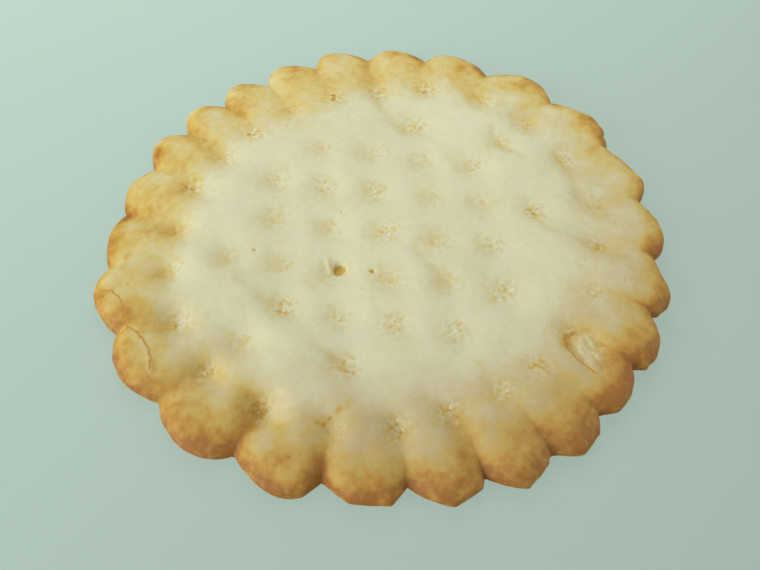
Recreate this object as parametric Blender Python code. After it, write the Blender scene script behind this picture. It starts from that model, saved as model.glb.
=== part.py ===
"""A round, scalloped, docked cracker of about 66 mm, lying on its flat underside.

The dough is stamped with an oval cutter that has an even row of lobes. Docking pins stand in a square
lattice over its middle, and one more stands behind every notch between two lobes. Rolled dough springs
back along the rolling direction: the oval becomes round, the lobes crowd together and lean on the two
sides that ran across the rolling, and the square lattice becomes a lattice of rhombs. Baking then puffs
the dough up between the pins and curls the rim off the tray.

Units are metres, +Z is up, +X is the rolling direction, and the origin is on the resting face, below the
middle of the outline.
"""

import math

import bmesh
import bpy
import numpy as np

MM = 0.001

# --- the outline, as baked ---------------------------------------------------------------------------
NOTCH_RADIUS = 30.77 * MM     # from the middle to the notches between the lobes
SPRING_BACK = 0.743           # how much of its length the dough keeps along the rolling direction
LOBES = 24                    # lobes on the cutter, with a notch on each end of both axes
LOBE_DEPTH = 2.4 * MM         # how far a cutter lobe stands out past its two notches
LOBE_FULLNESS = 0.85          # 1 makes a lobe half a sine wave, less than 1 makes it fuller
LOBE_SWING = 0.13             # lobes facing LOBE_SWING_TO are this share deeper, opposite ones shallower
LOBE_SWING_TO = 41.0          # degrees from +X
LOBE_LEAN = 0.45              # extra sideways pull on the lobes between the axes, as a share of their depth
# how far each lobe grew in the oven, as a share of the depth, going round from +X
LOBE_SHARES = (
    1.15, 1.0, 0.8, 1.0, 0.9, 1.1, 1.2, 1.1, 0.7, 0.45, 0.9, 0.95,
    1.2, 1.35, 1.4, 1.25, 1.2, 1.0, 0.6, 0.85, 0.9, 0.8, 0.85, 1.0,
)
FLAT_LOBE = 14                # the number of the lobe that was cut off straight
FLAT_LOBE_SHARE = 0.68        # and how much of its depth is left
# lobes whose far flank broke off straight: the cut's share of the height at the notch, and its slope
FLANK_CUTS = {
    0: (0.0, 2.2), 1: (0.0, 2.9), 2: (0.0, 2.2), 3: (0.0, 2.9), 13: (0.0, 2.9), 14: (0.0, 2.2),
    15: (0.3, 1.1), 16: (0.3, 1.1), 17: (0.5, 0.7), 20: (0.0, 2.2), 21: (0.0, 2.9), 22: (0.0, 1.6),
    23: (0.0, 2.2),
}
UNCUT = (2.0, 0.0)
# waves in the notch circle: how many round the cracker, height, and the direction of one crest in degrees
OUTLINE_WAVES = (
    (1, 0.58 * MM, -124.0), (2, 0.19 * MM, -1.0), (3, 0.41 * MM, 35.0),
    (4, 0.24 * MM, -18.0), (5, 0.14 * MM, -16.0),
)
# waves in the spacing of the notches: how many round, how far in lobes, and the direction of one crest
SPACING_WAVES = ((1, 0.03, 99.0), (2, 0.1, 37.0), (3, 0.035, -9.0))
CENTRE_SHIFT = (0.263 * MM, 0.43 * MM)    # brings the middle of the finished outline to the origin

# --- the section -------------------------------------------------------------------------------------
RIM_WIDEST = 1.0 * MM         # height of the rim's widest line
RIM_TOP = 1.95 * MM           # height of the lobes' tops just inside the rim
RIM_ROUND = 2.0 * MM          # how far in from the widest line the rim's rounding reaches
RIM_SWELL = 0.75 * MM         # how much higher the rim stands towards RIM_SWELL_TO, where it puffed most
RIM_SWELL_TO = -40.0          # degrees from +X
RIM_FULLNESS = 0.55           # there the rim is rounded by sin(angle) to this power, opposite by a sine
MIDDLE_TOP = 3.7 * MM         # height of the dough between the pins in the middle
RISE_LENGTH = 6.0 * MM        # the distance in from the rim over which most of that rise happens
RIM_LIFT = 0.4 * MM           # how far the rim's underside curls up off the tray
FLAT_SHARE = 0.76             # share of the radius that rests flat on the tray

# --- the docking pins --------------------------------------------------------------------------------
PIN_STEP = 4.95 * MM          # half the diagonal of the cutter's square lattice
PIN_ROWS = {0: 6, 1: 3, 2: 4, 3: 1}    # lattice row, each way from the middle: its last pin column
END_PIN = 5.5                 # the last pins of the middle row stand closer, this many columns out
PIN_SHIFT = (-0.8 * MM, -1.1 * MM)     # how far the pins stand off the middle of the cutter
PIN_RADIUS = 2.9 * MM         # of the dimple round each lattice pin, across the rolling direction
RING_PIN_RADIUS = 2.4 * MM    # the same for the ring pins
PIN_DEPTH = 0.37 * MM
HEEL_DEPTH = 0.03 * MM        # extra depth at the middle, growing towards -X, where the dough stuck more
HEEL_LENGTH = 7.0 * MM        # the distance over which it grows by a factor e
DEEPEST_PIN = 0.95 * MM
RING_INSET = 6.3 * MM         # the lobes die out over a little more than this distance in from the rim
RING_PIN_INSET = 7.6 * MM     # how far inside the cutter's notches the outer ring of pins stands
# ring pins, counted from +X, whose dimples came out deeper, or nearly closed again in the oven
RING_SHARES = {
    3: 1.2, 4: 0.3, 5: 0.7, 6: 0.3, 13: 1.3, 14: 0.6,
    16: 0.5, 17: 0.2, 18: 0.2, 19: 0.4, 20: 0.5,
}
PUFF_SEED = 5                 # seeds how unevenly the dimples came out

# --- furrows, folds and faults -----------------------------------------------------------------------
FURROW_DEPTH = 0.45 * MM      # the valley that runs in from every notch
FURROW_WIDTH = 1.4 * MM
FURROW_REACH = 0.5            # share of its depth that a furrow loses on the way to its ring pin
FURROW_SHARE = 0.5            # of the depth, for a plain furrow
STRONG_FURROWS = (9, 12, 13, 14, 15, 16)
STRONG_SHARE = 1.4
WEAK_FURROWS = (0, 1, 2, 4, 6, 8, 10, 18, 19, 20, 21, 22, 23)
WEAK_SHARE = 0.2
FOLD_RISE = 3.2 * MM          # the distance over which a fold rises on the right of its bends
# folds in the top: height, width of the drop on the left of the bends, and the bends in millimetres
FOLDS = (
    (0.24 * MM, 1.6 * MM, ((-16.9, 9.5), (-17.4, 4.0), (-17.2, -1.0), (-17.3, -6.0), (-16.9, -11.0))),
    (0.18 * MM, 1.6 * MM, ((18.5, 12.5), (21.5, 8.5), (22.7, 3.5))),
    (0.18 * MM, 1.4 * MM, ((12.4, -11.0), (12.6, -14.5), (13.6, -18.0), (14.6, -21.5))),
    (0.16 * MM, 1.6 * MM, ((19.8, -3.0), (21.0, -8.5), (20.0, -13.0))),
)
# the blister whose lid tore off: middle, half length, half width, direction and depth of the hollow
BLISTER_AT = (3.9 * MM, -26.3 * MM)
BLISTER_LENGTH = 3.4 * MM
BLISTER_WIDTH = 1.9 * MM
BLISTER_TURN = -100.0
BLISTER_DEPTH = 0.55 * MM
# broad swells in the top: wavelength, height, direction in degrees, and the phase in turns
SWELLS = (
    (34 * MM, 0.16 * MM, 20.0, 0.1),
    (23 * MM, 0.13 * MM, 105.0, 0.55),
    (17 * MM, 0.1 * MM, 160.0, 0.3),
)

# --- the mesh ----------------------------------------------------------------------------------------
GRID = 60                     # faces along one side of the square that becomes the disc
RIM_RINGS = 3                 # outermost rings of the disc, which follow the rim's rounding
RIM_ANGLE = math.radians(36)  # where on that rounding the disc hands over to the side wall
SIDE_ROWS = 2                 # rows of faces in the side wall

CRUST_COLOUR = (0.70, 0.56, 0.31, 1.0)
CRUST_ROUGHNESS = 0.62


def clear_scene():
    """Remove every object, so that the cracker stands alone."""
    for thing in list(bpy.data.objects):
        bpy.data.objects.remove(thing, do_unlink=True)


def cutter_parameter(turn):
    """The oval's parameter at each share of its rim's length.

    The rim of x = a cos u, y = b sin u is added up in short steps, and the sum is read backwards, so that
    equal steps of `turn` give lobes of equal width on the cutter. Slow waves then space them unevenly.
    """
    u = np.linspace(0.0, 2.0 * math.pi, 4097)
    middle = 0.5 * (u[1:] + u[:-1])
    steps = np.hypot(np.sin(middle) / SPRING_BACK, np.cos(middle))
    length = np.concatenate(([0.0], np.cumsum(steps)))
    spaced = np.array(turn, dtype=float)
    for count, width, crest in SPACING_WAVES:
        spaced += width / LOBES * np.cos(count * (2.0 * math.pi * turn - math.radians(crest)))
    return np.interp(np.mod(spaced, 1.0) * length[-1], length, u)


def notch_circle(u):
    """Points between notch and notch: the sprung-back oval, a circle, with a few waves in its radius."""
    radius = np.full_like(u, NOTCH_RADIUS)
    for count, height, crest in OUTLINE_WAVES:
        radius += height * np.cos(count * (u - math.radians(crest)))
    return np.stack((radius * np.cos(u), radius * np.sin(u)), axis=-1)


def lobe_offset(turn, u):
    """How far the lobes carry the outline out past the notch circle.

    Each cutter lobe rises by sin(pi * place) ^ fullness along the oval's normal, where place runs from 0
    to 1 across the lobe. A broken flank stays below start + slope * (1 - place). The spring-back shortens
    all of it along X, and the lean adds a sideways share.
    """
    place = np.mod(turn, 1.0) * LOBES
    lobe = np.floor(place).astype(int) % LOBES
    place -= np.floor(place)
    arc = np.sin(math.pi * place) ** LOBE_FULLNESS
    arc = np.where(lobe == FLAT_LOBE, np.minimum(arc, FLAT_LOBE_SHARE), arc)
    start, slope = np.array([FLANK_CUTS.get(number, UNCUT) for number in range(LOBES)]).T
    arc = np.minimum(arc, start[lobe] + slope[lobe] * (1.0 - place))
    swing = 1.0 + LOBE_SWING * np.cos(u - math.radians(LOBE_SWING_TO))
    arc = LOBE_DEPTH * arc * np.array(LOBE_SHARES)[lobe] * swing
    normal = np.stack((np.cos(u) * SPRING_BACK, np.sin(u)), axis=-1)
    normal /= np.linalg.norm(normal, axis=-1, keepdims=True)
    lean = LOBE_LEAN * 0.5 * np.sin(2.0 * u)
    out_x = SPRING_BACK * normal[..., 0] - lean * np.sin(u)
    out_y = normal[..., 1] + lean * np.cos(u)
    return np.stack((arc * out_x, arc * out_y), axis=-1)


def plan_point(turn, inset):
    """The plan place of a point `inset` metres in from the outline, at a share `turn` of the way round."""
    u = cutter_parameter(turn)
    keep = (1.0 - inset / NOTCH_RADIUS)[..., None]
    fade = np.clip(1.0 - inset / (1.3 * RING_INSET), 0.0, 1.0)[..., None]
    return notch_circle(u) * keep + lobe_offset(turn, u) * fade


def lattice_pins():
    """The pins of the lattice: a square one on the cutter, drawn into rhombs by the spring-back."""
    pins = []
    for row in range(-max(PIN_ROWS), max(PIN_ROWS) + 1):
        last = PIN_ROWS[abs(row)]
        for column in range(-last, last + 1, 2):
            place = min(max(column, -END_PIN), END_PIN)
            pins.append((place * PIN_STEP * SPRING_BACK, row * PIN_STEP))
    return np.array(pins) + PIN_SHIFT


def ring_pins():
    """The pins of the outer ring, one behind each notch."""
    u = cutter_parameter(np.arange(LOBES) / LOBES)
    long_way = NOTCH_RADIUS - RING_PIN_INSET * SPRING_BACK
    short_way = NOTCH_RADIUS - RING_PIN_INSET
    return np.stack((long_way * np.cos(u), short_way * np.sin(u)), axis=-1) + PIN_SHIFT


def distance_to_run(points, start, end):
    """Distance from each point to the straight run from start to end, and the share of the run there."""
    start = np.asarray(start, dtype=float)
    run = np.asarray(end, dtype=float) - start
    share = np.clip(((points - start) @ run) / (run @ run), 0.0, 1.0)
    return np.linalg.norm(points - start - share[:, None] * run, axis=1), share


def pin_relief(points, rng):
    """Dimples left by the docking pins, each a bell exp(-(d / radius)^2) of its own depth and width."""
    pins = np.concatenate((lattice_pins(), ring_pins()))
    depths = np.minimum(PIN_DEPTH + HEEL_DEPTH * np.exp(-pins[:, 0] / HEEL_LENGTH), DEEPEST_PIN)
    for number, share in RING_SHARES.items():
        depths[len(pins) - LOBES + number] *= share
    radii = np.concatenate((np.full(len(pins) - LOBES, PIN_RADIUS), np.full(LOBES, RING_PIN_RADIUS)))
    relief = np.zeros(len(points))
    for place, depth, radius in zip(pins, depths, radii):
        away = (points - place) / (SPRING_BACK, 1.0)
        radius *= rng.uniform(0.9, 1.1)
        relief -= depth * rng.uniform(0.75, 1.25) * np.exp(-np.sum(away ** 2, axis=1) / radius ** 2)
    return relief


def furrow_relief(points):
    """Valleys that run in from the notches towards the ring pins and get shallower on the way."""
    u = cutter_parameter(np.arange(LOBES) / LOBES)
    shares = np.full(LOBES, FURROW_SHARE)
    shares[list(STRONG_FURROWS)] = STRONG_SHARE
    shares[list(WEAK_FURROWS)] = WEAK_SHARE
    relief = np.zeros(len(points))
    for notch, pin, strength in zip(notch_circle(u), ring_pins(), shares):
        distance, share = distance_to_run(points, notch, pin)
        depth = FURROW_DEPTH * strength * (1.0 - FURROW_REACH * share)
        relief -= depth * np.exp(-(distance / FURROW_WIDTH) ** 2)
    return relief


def path_place(points, bends):
    """Distance from each point to a path through the bends, and the side of it on which the point lies.

    The side is 1 on the right of the nearest run, as one walks the bends, and -1 on its left. Past the
    ends of the path it passes smoothly from one to the other.
    """
    places = np.array(bends) * MM
    nearest = np.full(len(points), np.inf)
    side = np.zeros(len(points))
    for start, end in zip(places[:-1], places[1:]):
        distance = distance_to_run(points, start, end)[0]
        run = (end - start) / np.linalg.norm(end - start)
        left = run[0] * (points[:, 1] - start[1]) - run[1] * (points[:, 0] - start[0])
        side = np.where(distance < nearest, -left / np.maximum(distance, 1e-9), side)
        nearest = np.minimum(nearest, distance)
    return nearest, np.clip(side, -1.0, 1.0)


def fold_relief(points):
    """Ridges in the skin that rise slowly on the right of a path and drop quickly on its left."""
    relief = np.zeros(len(points))
    for height, drop, bends in FOLDS:
        distance, side = path_place(points, bends)
        width = drop + (FOLD_RISE - drop) * (0.5 + 0.5 * side)
        relief += height * np.exp(-(distance / width) ** 2)
    return relief


def blister_relief(points):
    """The shallow hollow where a blister tore open: an oval with a soft edge."""
    turn = math.radians(BLISTER_TURN)
    away = points - np.array(BLISTER_AT)
    along = away[:, 0] * math.cos(turn) + away[:, 1] * math.sin(turn)
    across = away[:, 1] * math.cos(turn) - away[:, 0] * math.sin(turn)
    distance = np.hypot(along / BLISTER_LENGTH, across / BLISTER_WIDTH)
    return -BLISTER_DEPTH / (1.0 + np.exp((distance - 1.0) * 5.0))


def swell_relief(points):
    """Broad swells: a few sine waves that cross the top in different directions."""
    relief = np.zeros(len(points))
    for length, height, direction, phase in SWELLS:
        turn = math.radians(direction)
        along = points[:, 0] * math.cos(turn) + points[:, 1] * math.sin(turn)
        relief += height * np.sin(2.0 * math.pi * (along / length + phase))
    return relief


def top_relief(points):
    """Everything that shapes the top apart from the section, in metres up."""
    rng = np.random.default_rng(PUFF_SEED)
    relief = pin_relief(points, rng) + furrow_relief(points) + fold_relief(points)
    return relief + blister_relief(points) + swell_relief(points)


def square_to_disc(x, y):
    """Share of the way round, and ring number as a share, of points on the square from -1 to 1.

    A square ring at max(|x|, |y|) becomes a circle, and steps along the square become equal angles.
    """
    ring = np.maximum(np.abs(x), np.abs(y))
    flat = np.abs(x) >= np.abs(y)
    safe_x = np.where(flat & (ring > 0), x, 1.0)
    safe_y = np.where(~flat, y, 1.0)
    from_x = y / safe_x * 0.125 + np.where(x < 0, 0.5, 0.0)
    from_y = 0.25 - x / safe_y * 0.125 + np.where(y < 0, 0.5, 0.0)
    return np.mod(np.where(flat, from_x, from_y), 1.0), ring


def section(ring, level):
    """Inset from the outline and angle on the rim's rounding, from the ring share and the level.

    The level is 1 on the top sheet, -1 on the bottom sheet and between on the side wall. The outermost
    rings of each sheet step evenly round the rim's quarter ellipse, and the rest step evenly to the middle.
    """
    outer = 2.0 * RIM_RINGS / GRID
    on_rim = ring > 1.0 - outer
    angle = np.where(on_rim, RIM_ANGLE + (1.0 - ring) / outer * (math.pi / 2 - RIM_ANGLE), math.pi / 2)
    angle = np.where(np.abs(level) < 1.0, level * RIM_ANGLE, angle * np.sign(level))
    inner = NOTCH_RADIUS - (NOTCH_RADIUS - RIM_ROUND) * ring / (1.0 - outer)
    inset = np.where(on_rim, RIM_ROUND * (1.0 - np.cos(angle)), inner)
    return inset, angle


def square_block():
    """A cube whose top and bottom are cut into GRID by GRID faces and whose sides into SIDE_ROWS rows."""
    bm = bmesh.new()
    bmesh.ops.create_cube(bm, size=2.0)
    level = [edge for edge in bm.edges if abs(edge.verts[0].co.z - edge.verts[1].co.z) < 0.5]
    bmesh.ops.subdivide_edges(bm, edges=level, cuts=GRID - 1, use_grid_fill=True)
    upright = [edge for edge in bm.edges if abs(edge.verts[0].co.z - edge.verts[1].co.z) > 0.5]
    bmesh.ops.subdivide_edges(bm, edges=upright, cuts=SIDE_ROWS - 1)
    return bm


def rim_height(turn):
    """Height of the lobes' tops round the rim, and the power of the sine that rounds the rim off."""
    swell = 0.5 + 0.5 * np.cos(cutter_parameter(turn) - math.radians(RIM_SWELL_TO))
    return RIM_TOP + RIM_SWELL * swell, 1.0 + (RIM_FULLNESS - 1.0) * swell


def shape_block(bm):
    """Carry every corner of the block to its place on the cracker."""
    bm.verts.ensure_lookup_table()
    block = np.array([vert.co[:] for vert in bm.verts], dtype=float)
    turn, ring = square_to_disc(block[:, 0], block[:, 1])
    level = np.round(block[:, 2], 5)
    inset, angle = section(ring, level)
    plan = plan_point(turn, inset)

    round_off = np.sin(np.abs(angle))
    rim_top, power = rim_height(turn)
    rise = (MIDDLE_TOP - rim_top) * (1.0 - np.exp(-inset / RISE_LENGTH))
    top = RIM_WIDEST + (rim_top - RIM_WIDEST + rise + top_relief(plan)) * round_off ** power
    out = np.clip((1.0 - inset / NOTCH_RADIUS - FLAT_SHARE) / (1.0 - FLAT_SHARE), 0.0, 1.0)
    bottom = RIM_WIDEST - (RIM_WIDEST - RIM_LIFT * out ** 2) * round_off
    height = np.where(angle >= 0.0, top, bottom)
    height = np.where((angle < 0.0) & (out <= 0.0), 0.0, height)

    for vert, (x, y), z in zip(bm.verts, plan, height):
        vert.co = (x + CENTRE_SHIFT[0], y + CENTRE_SHIFT[1], z)


def merge_resting_face(bm):
    """Join the flat faces of the underside into one."""
    flat = [face for face in bm.faces if max(abs(vert.co.z) for vert in face.verts) < 1e-7]
    bmesh.ops.dissolve_faces(bm, faces=flat, use_verts=True)


def crust_material():
    """Pale, dry, baked dough."""
    material = bpy.data.materials.new("crust")
    material.use_nodes = True
    shader = material.node_tree.nodes["Principled BSDF"]
    shader.inputs["Base Color"].default_value = CRUST_COLOUR
    shader.inputs["Roughness"].default_value = CRUST_ROUGHNESS
    shader.inputs["Metallic"].default_value = 0.0
    return material


def make_cracker(collection):
    """The whole cracker, one solid."""
    bm = square_block()
    shape_block(bm)
    merge_resting_face(bm)
    bmesh.ops.recalc_face_normals(bm, faces=bm.faces)
    mesh = bpy.data.meshes.new("cracker")
    bm.to_mesh(mesh)
    bm.free()
    mesh.shade_smooth()
    mesh.set_sharp_from_angle(angle=math.radians(50))
    mesh.materials.append(crust_material())
    cracker = bpy.data.objects.new("cracker", mesh)
    collection.objects.link(cracker)
    return cracker


def main():
    clear_scene()
    collection = bpy.data.collections.new("scalloped cracker")
    bpy.context.scene.collection.children.link(collection)
    make_cracker(collection)


main()
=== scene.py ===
# %% [markdown]
# # A scalloped cracker, seen close up
#
# The object is one round, puffed cracker of about 66 mm. A lobed cutter stamped it, docking pins pricked it,
# and the oven browned it from the rim inwards. The solid model already gives its size, outline and main
# relief. This file dresses it: it makes one fine skin in the same place, with the crumbs, pores, splits and
# browning that the solid is too coarse to hold, and then gives that skin its dough colours.
#
# We start by loading the solid as a fixed frame.

import math

import bpy
import numpy as np
from mathutils import Matrix, Vector


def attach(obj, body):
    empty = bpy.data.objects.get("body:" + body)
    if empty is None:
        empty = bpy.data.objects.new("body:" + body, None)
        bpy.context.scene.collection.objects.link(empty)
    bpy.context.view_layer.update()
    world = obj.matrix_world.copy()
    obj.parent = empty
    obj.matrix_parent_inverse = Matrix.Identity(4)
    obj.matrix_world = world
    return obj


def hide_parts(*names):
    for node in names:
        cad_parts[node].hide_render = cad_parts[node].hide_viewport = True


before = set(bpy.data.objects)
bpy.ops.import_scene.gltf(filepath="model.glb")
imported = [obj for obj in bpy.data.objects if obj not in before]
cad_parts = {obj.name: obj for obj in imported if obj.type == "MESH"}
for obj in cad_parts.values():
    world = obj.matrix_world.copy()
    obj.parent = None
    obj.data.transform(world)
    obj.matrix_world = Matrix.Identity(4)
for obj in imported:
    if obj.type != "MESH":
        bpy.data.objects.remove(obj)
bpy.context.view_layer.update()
MM = 0.001

# %% [markdown]
# ## The camera
#
# The picture looks down on the cracker at 54 degrees, from close by, so its near edge is clearly larger than
# its far edge. A camera can be aimed with a constraint or placed by hand. Here its place and its three turns
# are given outright, because they were worked out from the outline and the pin pattern together.
# The rolling direction of the dough is +X, and it runs up to the right in the picture.

# %% Camera
CAMERA_PLACE = (-42.847 * MM, -46.065 * MM, 78.89 * MM)
CAMERA_HEADING = -42.4      # degrees, turned from looking along +Y
CAMERA_DOWN = 54.05         # degrees below the horizon
CAMERA_ROLL = -1.27         # degrees
LENS = 40.88                # mm
SENSOR = 36.0               # mm across


def add_camera():
    """A camera turned about Z, then tipped down, then rolled about its own line of sight."""
    data = bpy.data.cameras.new("camera")
    data.lens = LENS
    data.sensor_width = SENSOR
    data.clip_start = 1.0 * MM
    camera = bpy.data.objects.new("camera", data)
    heading = Matrix.Rotation(math.radians(CAMERA_HEADING), 4, "Z")
    tip = Matrix.Rotation(math.radians(90.0 - CAMERA_DOWN), 4, "X")
    roll = Matrix.Rotation(math.radians(CAMERA_ROLL), 4, "Z")
    camera.matrix_world = Matrix.Translation(CAMERA_PLACE) @ heading @ tip @ roll
    bpy.context.scene.collection.objects.link(camera)
    bpy.context.scene.camera = camera


add_camera()
print("camera", round(Vector(CAMERA_PLACE).length / MM), "mm from the middle")

# %% [markdown]
# ## Helpers for materials
#
# A material is a tree of nodes: values enter, are added, multiplied and mixed, and leave as a colour. One can
# draw such a tree by hand in the shader editor. These short functions build it from text instead, so that a
# later line reads like a sum. The floor and the crust share them.

# %% Material helpers
def add_node(tree, kind, **values):
    """A node of this kind, with settings by name and inputs by their socket's name."""
    node = tree.nodes.new(kind)
    for name, value in values.items():
        if name in node.inputs:
            node.inputs[name].default_value = value
        else:
            setattr(node, name, value)
    return node


def fill_sockets(tree, sockets, values):
    """Give each socket its value: a number or a colour is set on it, and another socket is linked to it."""
    for socket, value in zip(sockets, values):
        if isinstance(value, (int, float, tuple)):
            socket.default_value = value
        else:
            tree.links.new(value, socket)


def math_node(tree, operation, first, second):
    """first (operation) second, where each is a socket or a number."""
    node = add_node(tree, "ShaderNodeMath", operation=operation)
    fill_sockets(tree, node.inputs, (first, second))
    return node.outputs[0]


def plus(tree, total, *others):
    """The sum of sockets and numbers."""
    for other in others:
        total = math_node(tree, "ADD", total, other)
    return total


def times(tree, product, *others):
    """The product of sockets and numbers."""
    for other in others:
        product = math_node(tree, "MULTIPLY", product, other)
    return product


def mix_colour(tree, share, first, second):
    """The first colour, shifted to the second by a share; each is a socket or a colour."""
    node = add_node(tree, "ShaderNodeMix", data_type="RGBA")
    fill_sockets(tree, (node.inputs["Factor"], node.inputs[6], node.inputs[7]), (share, first, second))
    return node.outputs[2]


print("helpers:", ", ".join(helper.__name__ for helper in (add_node, math_node, plus, times, mix_colour)))

# %% [markdown]
# ## The floor
#
# The floor is a plain pale sheet with a cool green tint. Its colour is painted a little brighter beyond the
# cracker than in front, as painted light falling off towards the viewer. It could be lit by the lamps alone,
# but then the cracker would cast a strong shadow. So most of the sheet's brightness is its own glow, as on
# a light table.

# %% Floor
FLOOR_COLOUR = np.array((0.444, 0.573, 0.494))
FLOOR_GLOW = 0.78           # share of the floor's brightness that is its own
FLOOR_FALL = 2.6            # how much brighter the floor gets per metre towards FLOOR_FALL_TO, in degrees
FLOOR_FALL_TO = 95.0
FLOOR_FALL_SPAN = 0.1       # metres from the middle, beyond which it stays even
FLOOR_SIZE = 3.0


def compass(degrees):
    """The flat vector of length one at this many degrees from +X."""
    return np.array((math.cos(math.radians(degrees)), math.sin(math.radians(degrees))))


def add_floor():
    """A flat sheet under the cracker, far larger than the picture."""
    half = FLOOR_SIZE / 2.0
    mesh = bpy.data.meshes.new("floor")
    corners = [(-half, -half, 0), (half, -half, 0), (half, half, 0), (-half, half, 0)]
    mesh.from_pydata(corners, [], [(0, 1, 2, 3)])
    material = bpy.data.materials.new("pale sheet")
    material.use_nodes = True
    tree = material.node_tree
    shader = tree.nodes["Principled BSDF"]
    where = tree.nodes.new("ShaderNodeTexCoord").outputs["Object"]
    # painted light: the colour is mixed brighter towards FLOOR_FALL_TO and darker away from it
    along = add_node(tree, "ShaderNodeVectorMath", operation="DOT_PRODUCT")
    fill_sockets(tree, along.inputs, (where, (*compass(FLOOR_FALL_TO), 0.0)))
    ends = {"From Min": -FLOOR_FALL_SPAN, "From Max": FLOOR_FALL_SPAN}
    share = add_node(tree, "ShaderNodeMapRange", **ends)
    tree.links.new(along.outputs["Value"], share.inputs["Value"])
    change = FLOOR_FALL_SPAN * FLOOR_FALL
    for name, part in (("Base Color", 1.0 - FLOOR_GLOW), ("Emission Color", 1.0)):
        colours = [(*(FLOOR_COLOUR * part * level), 1.0) for level in (1.0 - change, 1.0 + change)]
        tree.links.new(mix_colour(tree, share.outputs["Result"], *colours), shader.inputs[name])
    shader.inputs["Emission Strength"].default_value = FLOOR_GLOW
    shader.inputs["Roughness"].default_value = 0.9
    shader.inputs["Specular IOR Level"].default_value = 0.1
    mesh.materials.append(material)
    floor = bpy.data.objects.new("floor", mesh)
    bpy.context.scene.collection.objects.link(floor)


add_floor()
print("floor", FLOOR_SIZE, "m across")

# %% [markdown]
# ## Light
#
# Two lamps do the modelling: the key lamp stands low on the left of the picture, and a small one beyond its
# top edge makes the light fall off towards the viewer. Two weak lamps, lower still on the right and on the
# left, light the rim, and a pale world fills the rest. All of them are broad or close, because one small
# distant lamp would cut hard shadows into the dimples.

# %% Light
WORLD_COLOUR = (1.0, 0.97, 0.88, 1.0)
WORLD_STRENGTH = 0.3
# lamps: name, watts, size and distance in metres, heading from +X and height above the floor in degrees
LAMPS = (
    ("key", 7.6, 0.7, 1.0, 165.0, 22.0),
    ("fill", 0.105, 0.14, 0.15, 47.6, 50.0),
    ("right", 3.5, 0.5, 1.0, -42.0, 10.0),
    ("left", 1.5, 0.5, 1.0, 148.0, 10.0),
)
LAMP_COLOUR = (0.97, 1.0, 0.995)


def add_lamp(name, power, size, distance, heading, height):
    """A square area lamp that faces the cracker."""
    height = math.radians(height)
    aim = Vector((*(compass(heading) * math.cos(height)), math.sin(height)))
    data = bpy.data.lights.new(name, "AREA")
    data.energy = power
    data.size = size
    data.color = LAMP_COLOUR
    lamp = bpy.data.objects.new(name, data)
    lamp.location = aim * distance
    lamp.rotation_euler = aim.to_track_quat("Z", "Y").to_euler()
    bpy.context.scene.collection.objects.link(lamp)


def add_world():
    """A pale world, which lights the cracker evenly from all sides."""
    world = bpy.data.worlds.new("room")
    world.use_nodes = True
    sky = world.node_tree.nodes["Background"]
    sky.inputs["Color"].default_value = WORLD_COLOUR
    sky.inputs["Strength"].default_value = WORLD_STRENGTH
    bpy.context.scene.world = world


for lamp in LAMPS:
    add_lamp(*lamp)
add_world()
bpy.context.scene.view_settings.view_transform = "Standard"
print(len(LAMPS), "lamps of", [lamp[1] for lamp in LAMPS], "W")

# %% [markdown]
# ## The outline
#
# The cutter is an oval with 24 even lobes. Rolled dough springs back along the rolling direction, so the
# baked outline is a circle whose lobes are narrow on two sides, broad on the other two, and lean between.
# One could trace such an outline point by point. Following what the dough did is shorter, and every lobe
# then leans the right way by itself. The lobes differ in depth, and some far flanks broke off straight.

# %% Outline
NOTCH_RADIUS = 30.77 * MM   # from the middle to the notches, on average
SPRING_BACK = 0.743         # what the spring-back leaves of a length along +X
LOBES = 24
LOBE_DEPTH = 2.4 * MM
LOBE_FULLNESS = 0.85        # power of the sine that rounds a lobe; below 1 it is fuller
LOBE_SWING = 0.13           # how much deeper the lobes towards LOBE_SWING_TO are
LOBE_SWING_TO = 41.0
LOBE_LEAN = 0.45
RING_INSET = 6.3 * MM       # the lobes die out over a little more than this distance in from the rim
# depth of each lobe beside LOBE_DEPTH, going round from +X
LOBE_SHARES = (
    1.15, 1.0, 0.8, 1.0, 0.9, 1.1, 1.2, 1.1, 0.7, 0.45, 0.9, 0.95,
    1.2, 1.35, 1.4, 1.25, 1.2, 1.0, 0.6, 0.85, 0.9, 0.8, 0.85, 1.0,
)
FLAT_LOBE = 14              # this one met the tray's edge and is cut off straight
FLAT_LOBE_SHARE = 0.68
# lobes whose far flank broke off straight: the cut's share of the height at the notch, and its slope
FLANK_CUTS = {
    0: (0.0, 2.2), 1: (0.0, 2.9), 2: (0.0, 2.2), 3: (0.0, 2.9), 13: (0.0, 2.9), 14: (0.0, 2.2),
    15: (0.3, 1.1), 16: (0.3, 1.1), 17: (0.5, 0.7), 20: (0.0, 2.2), 21: (0.0, 2.9), 22: (0.0, 1.6),
    23: (0.0, 2.2),
}
UNCUT = (2.0, 0.0)          # a cut that passes above its lobe
# count, height and crest of the slow waves in the outline, and of the lobes' uneven spacing in lobes
OUTLINE_WAVES = (
    (1, 0.58 * MM, -124.0), (2, 0.19 * MM, -1.0), (3, 0.41 * MM, 35.0),
    (4, 0.24 * MM, -18.0), (5, 0.14 * MM, -16.0),
)
SPACING_WAVES = ((1, 0.03, 99.0), (2, 0.1, 37.0), (3, 0.035, -9.0))
CENTRE_SHIFT = np.array((0.263 * MM, 0.43 * MM))    # puts the middle of its box at the origin


def wave_sum(u, waves):
    """The sum of height * cos(count * (u - crest))."""
    return sum(height * np.cos(count * (u - math.radians(crest))) for count, height, crest in waves)


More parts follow.
